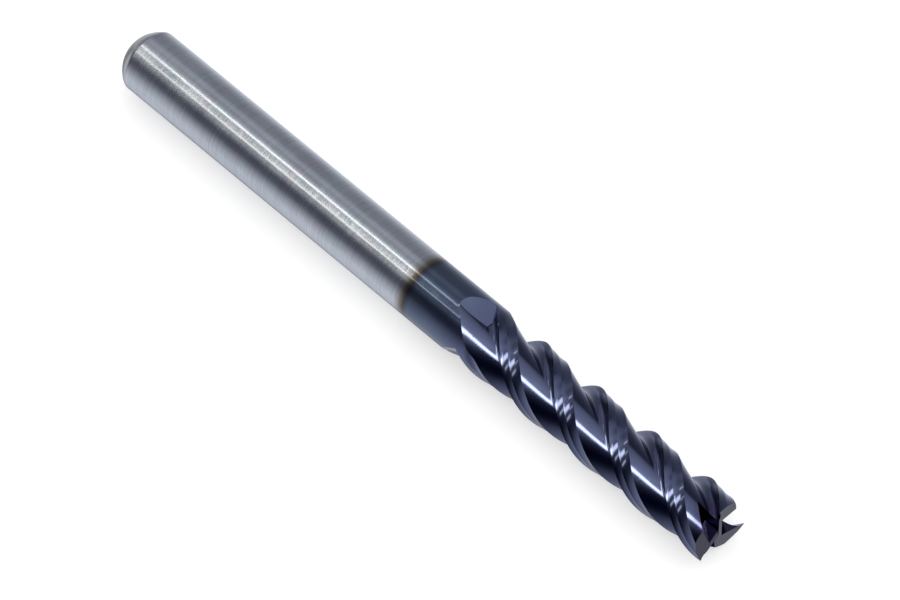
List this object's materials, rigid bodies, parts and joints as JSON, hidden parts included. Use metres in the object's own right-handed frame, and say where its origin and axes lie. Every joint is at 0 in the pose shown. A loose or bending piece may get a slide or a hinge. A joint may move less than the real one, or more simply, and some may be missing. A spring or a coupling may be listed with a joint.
{
  "type": "square end mill",
  "caption": "Solid carbide square end mill, right-hand helix and right-hand cut, with a plain round shank and a dark coated cutting end.",
  "frame": {"origin": "centre of the shank's flat end face", "axes": "+X along the tool, from the shank's end face to the end teeth"},
  "size_m": [0.0381, 0.0032, 0.0032],
  "materials": {
    "bare_carbide": "ground",
    "coated_carbide": "satin"
  },
  "bodies": {
    "root": {"shank": "bare_carbide", "coated_neck": "coated_carbide", "fluted_body": "coated_carbide"}
  },
  "joints": []
}
